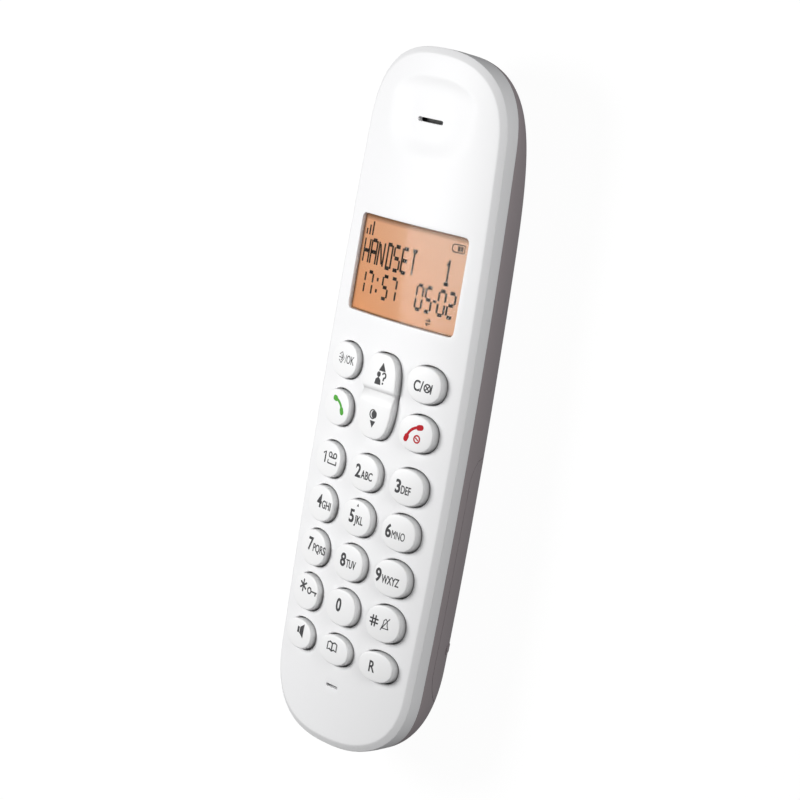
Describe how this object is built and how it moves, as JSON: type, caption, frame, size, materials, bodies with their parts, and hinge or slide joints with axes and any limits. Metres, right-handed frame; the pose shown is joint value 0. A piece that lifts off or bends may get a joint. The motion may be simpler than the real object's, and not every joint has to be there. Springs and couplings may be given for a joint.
{
  "type": "cordless phone",
  "caption": "Slim cordless telephone handset with an amber display window, domed push keys, an earpiece slot and a wrap-round battery door.",
  "frame": {"origin": "middle of the bounding box, on the surface that the handset's flat back rests on", "axes": "+Z out of the keypad face, +Y along the body towards the earpiece, +X to the user's right"},
  "size_m": [0.048, 0.155, 0.0235],
  "materials": {
    "white_shell": "satin white moulding",
    "grey_shell": "fine matt texture",
    "key_plastic": "satin white, dark printed legends",
    "window": "clear",
    "lcd": "amber lit display",
    "light_guide": "clear amber",
    "white_frame": "white",
    "soft_black": "soft black",
    "silicone": "milky silicone",
    "steel": "bright",
    "board": "green solder mask",
    "black_plastic": "moulded chip",
    "gold": "plated",
    "speaker": "dark grey",
    "cloth": "black acoustic cloth",
    "cell_sleeve": "plain plastic sleeve"
  },
  "bodies": {
    "handset": {"front_shell": "white_shell", "rear_shell": "grey_shell", "display_window": "window", "lcd_glass": "lcd", "backlight_guide": "light_guide", "lcd_holder": "white_frame", "lcd_connector": "soft_black", "keypad_mat": "silicone", "dome_sheet": "steel", "main_board": "board", "rf_shield": "steel", "radio_chip": "black_plastic", "antenna": "gold", "earpiece_speaker": "speaker", "earpiece_gasket": "soft_black", "earpiece_cloth": "cloth", "microphone": "steel", "microphone_boot": "soft_black", "loudspeaker": "speaker", "loudspeaker_gasket": "soft_black", "left_cell": "cell_sleeve", "right_cell": "cell_sleeve", "cell_springs": "steel", "cell_plates": "steel", "charge_contacts": "gold", "case_screws": "steel", "board_screws": "steel"},
    "door": {"battery_door": "grey_shell"},
    "navigation_key": {"key_navigation": "key_plastic"},
    "menu_key": {"key_menu": "key_plastic"},
    "clear_key": {"key_clear": "key_plastic"},
    "talk_key": {"key_talk": "key_plastic"},
    "end_key": {"key_end": "key_plastic"},
    "1_key": {"key_1": "key_plastic"},
    "2_key": {"key_2": "key_plastic"},
    "3_key": {"key_3": "key_plastic"},
    "4_key": {"key_4": "key_plastic"},
    "5_key": {"key_5": "key_plastic"},
    "6_key": {"key_6": "key_plastic"},
    "7_key": {"key_7": "key_plastic"},
    "8_key": {"key_8": "key_plastic"},
    "9_key": {"key_9": "key_plastic"},
    "star_key": {"key_star": "key_plastic"},
    "0_key": {"key_0": "key_plastic"},
    "hash_key": {"key_hash": "key_plastic"},
    "speaker_key": {"key_speaker": "key_plastic"},
    "phonebook_key": {"key_phonebook": "key_plastic"},
    "recall_key": {"key_recall": "key_plastic"}
  },
  "joints": [
    {"name": "door_lift", "type": "slide", "parent": "handset", "child": "door", "axis": [0, 0, -1], "range_m": [0, 0.025]},
    {"name": "navigation_rock", "type": "hinge", "parent": "handset", "child": "navigation_key", "pos_m": [0, 0.00105, 0.0196], "axis": [1, 0, 0], "range_deg": [-3, 3], "stiffness_Nm_per_rad": 0.2},
    {"name": "press_menu", "type": "slide", "parent": "handset", "child": "menu_key", "axis": [0, 0, -1], "range_m": [0, 0.0008], "stiffness_N_per_m": 1200},
    {"name": "press_clear", "type": "slide", "parent": "handset", "child": "clear_key", "axis": [0, 0, -1], "range_m": [0, 0.0008], "stiffness_N_per_m": 1200},
    {"name": "press_talk", "type": "slide", "parent": "handset", "child": "talk_key", "axis": [0, 0, -1], "range_m": [0, 0.0008], "stiffness_N_per_m": 1200},
    {"name": "press_end", "type": "slide", "parent": "handset", "child": "end_key", "axis": [0, 0, -1], "range_m": [0, 0.0008], "stiffness_N_per_m": 1200},
    {"name": "press_1", "type": "slide", "parent": "handset", "child": "1_key", "axis": [0, 0, -1], "range_m": [0, 0.0008], "stiffness_N_per_m": 1200},
    {"name": "press_2", "type": "slide", "parent": "handset", "child": "2_key", "axis": [0, 0, -1], "range_m": [0, 0.0008], "stiffness_N_per_m": 1200},
    {"name": "press_3", "type": "slide", "parent": "handset", "child": "3_key", "axis": [0, 0, -1], "range_m": [0, 0.0008], "stiffness_N_per_m": 1200},
    {"name": "press_4", "type": "slide", "parent": "handset", "child": "4_key", "axis": [0, 0, -1], "range_m": [0, 0.0008], "stiffness_N_per_m": 1200},
    {"name": "press_5", "type": "slide", "parent": "handset", "child": "5_key", "axis": [0, 0, -1], "range_m": [0, 0.0008], "stiffness_N_per_m": 1200},
    {"name": "press_6", "type": "slide", "parent": "handset", "child": "6_key", "axis": [0, 0, -1], "range_m": [0, 0.0008], "stiffness_N_per_m": 1200},
    {"name": "press_7", "type": "slide", "parent": "handset", "child": "7_key", "axis": [0, 0, -1], "range_m": [0, 0.0008], "stiffness_N_per_m": 1200},
    {"name": "press_8", "type": "slide", "parent": "handset", "child": "8_key", "axis": [0, 0, -1], "range_m": [0, 0.0008], "stiffness_N_per_m": 1200},
    {"name": "press_9", "type": "slide", "parent": "handset", "child": "9_key", "axis": [0, 0, -1], "range_m": [0, 0.0008], "stiffness_N_per_m": 1200},
    {"name": "press_star", "type": "slide", "parent": "handset", "child": "star_key", "axis": [0, 0, -1], "range_m": [0, 0.0008], "stiffness_N_per_m": 1200},
    {"name": "press_0", "type": "slide", "parent": "handset", "child": "0_key", "axis": [0, 0, -1], "range_m": [0, 0.0008], "stiffness_N_per_m": 1200},
    {"name": "press_hash", "type": "slide", "parent": "handset", "child": "hash_key", "axis": [0, 0, -1], "range_m": [0, 0.0008], "stiffness_N_per_m": 1200},
    {"name": "press_speaker", "type": "slide", "parent": "handset", "child": "speaker_key", "axis": [0, 0, -1], "range_m": [0, 0.0008], "stiffness_N_per_m": 1200},
    {"name": "press_phonebook", "type": "slide", "parent": "handset", "child": "phonebook_key", "axis": [0, 0, -1], "range_m": [0, 0.0008], "stiffness_N_per_m": 1200},
    {"name": "press_recall", "type": "slide", "parent": "handset", "child": "recall_key", "axis": [0, 0, -1], "range_m": [0, 0.0008], "stiffness_N_per_m": 1200}
  ]
}
